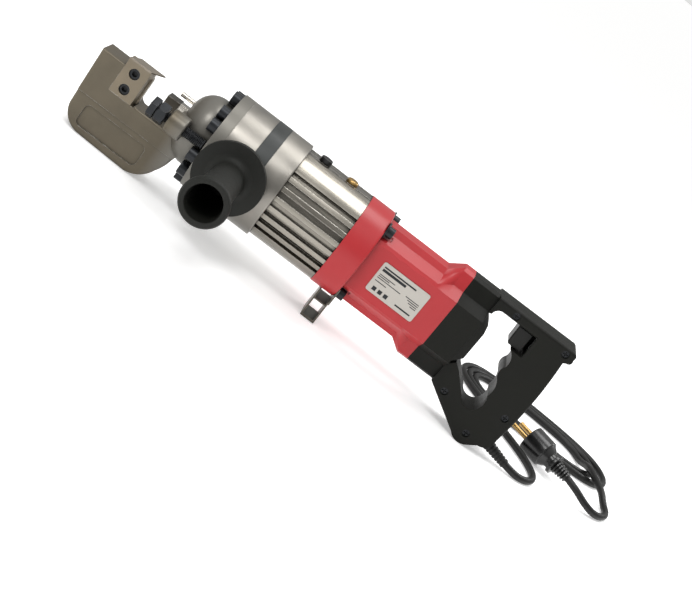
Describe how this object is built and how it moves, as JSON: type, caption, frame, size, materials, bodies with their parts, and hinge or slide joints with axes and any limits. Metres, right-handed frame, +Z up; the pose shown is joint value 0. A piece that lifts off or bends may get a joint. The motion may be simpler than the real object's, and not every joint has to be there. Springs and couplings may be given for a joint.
{
  "type": "rebar cutter",
  "caption": "Hand-held electro-hydraulic rebar cutter with a C-shaped jaw, sliding blade, ribbed pump barrel, motor housing, D-handle, side handle and mains lead.",
  "frame": {"origin": "middle of the flat underside of the jaw, on the table", "axes": "+X from the jaw towards the D-handle along the table, +Z up, the side handle points along -Y"},
  "size_m": [0.6428, 0.3623, 0.1295],
  "materials": {
    "cast_steel": "satin",
    "tool_steel": "satin",
    "dark_tool_steel": "satin",
    "sheet_steel": "satin",
    "black_oxide": "satin",
    "bright_steel": "gloss",
    "spring_steel": "satin",
    "machined_steel": "satin",
    "band_paint": "satin",
    "ribbed_aluminium": "satin",
    "valve_black": "satin",
    "brass": "satin",
    "seal_rubber": "matte",
    "gear_steel": "satin",
    "lamination_steel": "matte",
    "winding_copper": "satin",
    "black_plastic": "matte",
    "red_paint": "satin",
    "foot_steel": "satin",
    "label_plate": "satin",
    "trigger_plastic": "matte",
    "grip_rubber": "matte",
    "cord_rubber": "matte",
    "plug_plastic": "gloss"
  },
  "bodies": {
    "tool_body": {"jaw_frame": "cast_steel", "fixed_blade": "tool_steel", "fixed_blade_screws": "black_oxide", "blade_guard": "sheet_steel", "head_bolts": "black_oxide", "guide_pin": "bright_steel", "return_spring": "spring_steel", "pump_cylinder": "machined_steel", "collar_band": "band_paint", "pump_barrel": "ribbed_aluminium", "oil_plug": "brass", "oil_bladder": "seal_rubber", "pump_block": "machined_steel", "pump_plunger": "bright_steel", "eccentric_front_bearing": "bright_steel", "eccentric_rear_bearing": "bright_steel", "gearbox_plate": "ribbed_aluminium", "motor_front_bearing": "bright_steel", "motor_rear_bearing": "bright_steel", "stator_core": "lamination_steel", "field_coils": "winding_copper", "brush_gear": "brass", "motor_housing": "red_paint", "housing_screws": "black_oxide", "screw_plates": "black_oxide", "support_foot": "foot_steel", "rating_plate": "label_plate", "rear_cap": "black_plastic", "handle_near_shell": "black_plastic", "handle_far_shell": "black_plastic", "handle_screws": "black_oxide", "switch_body": "trigger_plastic", "aux_handle_grip": "grip_rubber", "aux_handle_stud": "black_oxide", "cord_boot": "cord_rubber", "cord_lead": "cord_rubber", "cord_coil": "cord_rubber", "cord_tail": "cord_rubber", "plug_body": "plug_plastic", "plug_pins": "brass"},
    "ram_body": {"ram": "bright_steel", "piston_seal": "seal_rubber", "moving_blade": "dark_tool_steel", "moving_blade_screw": "black_oxide"},
    "trigger_body": {"trigger": "trigger_plastic"},
    "armature_body": {"armature_shaft": "bright_steel", "motor_pinion": "gear_steel", "armature_core": "lamination_steel", "armature_windings": "winding_copper", "commutator": "winding_copper", "cooling_fan": "black_plastic"},
    "eccentric_body": {"eccentric_shaft": "bright_steel", "gear_wheel": "gear_steel"},
    "stopper_bolt_body": {"stopper_bolt": "black_oxide"},
    "stopper_nut_body": {"stopper_nut": "black_oxide"},
    "release_valve_body": {"release_valve": "valve_black"}
  },
  "joints": [
    {"name": "ram_stroke", "type": "slide", "parent": "tool_body", "child": "ram_body", "axis": [-0.9995, 0, -0.0328], "range_m": [-0.007, 0.018]},
    {"name": "trigger_pull", "type": "slide", "parent": "tool_body", "child": "trigger_body", "axis": [0.9995, 0, 0.0328], "range_m": [0, 0.006], "stiffness_N_per_m": 900, "springref_m": -0.002},
    {"name": "eccentric_spin", "type": "hinge", "parent": "tool_body", "child": "eccentric_body", "pos_m": [0.18036, 0, 0.05294], "axis": [0.9995, 0, 0.0328], "continuous": true},
    {"name": "armature_spin", "type": "hinge", "parent": "tool_body", "child": "armature_body", "pos_m": [0.26966, 0, 0.07589], "axis": [0.9995, 0, 0.0328], "continuous": true},
    {"name": "stopper_reach", "type": "slide", "parent": "tool_body", "child": "stopper_bolt_body", "axis": [-0.9995, 0, -0.0328], "range_m": [0, 0.012]},
    {"name": "stopper_nut_gap", "type": "slide", "parent": "stopper_bolt_body", "child": "stopper_nut_body", "axis": [-0.9995, 0, -0.0328], "range_m": [-0.003, 0.001]},
    {"name": "release_valve_turn", "type": "hinge", "parent": "tool_body", "child": "release_valve_body", "pos_m": [0.15607, 0, 0.11618], "axis": [-0.0328, 0, 0.9995], "range_deg": [0, 90]}
  ],
  "couplings": [
    {"joint": "armature_spin", "follows": "eccentric_spin", "ratio": -3}
  ]
}
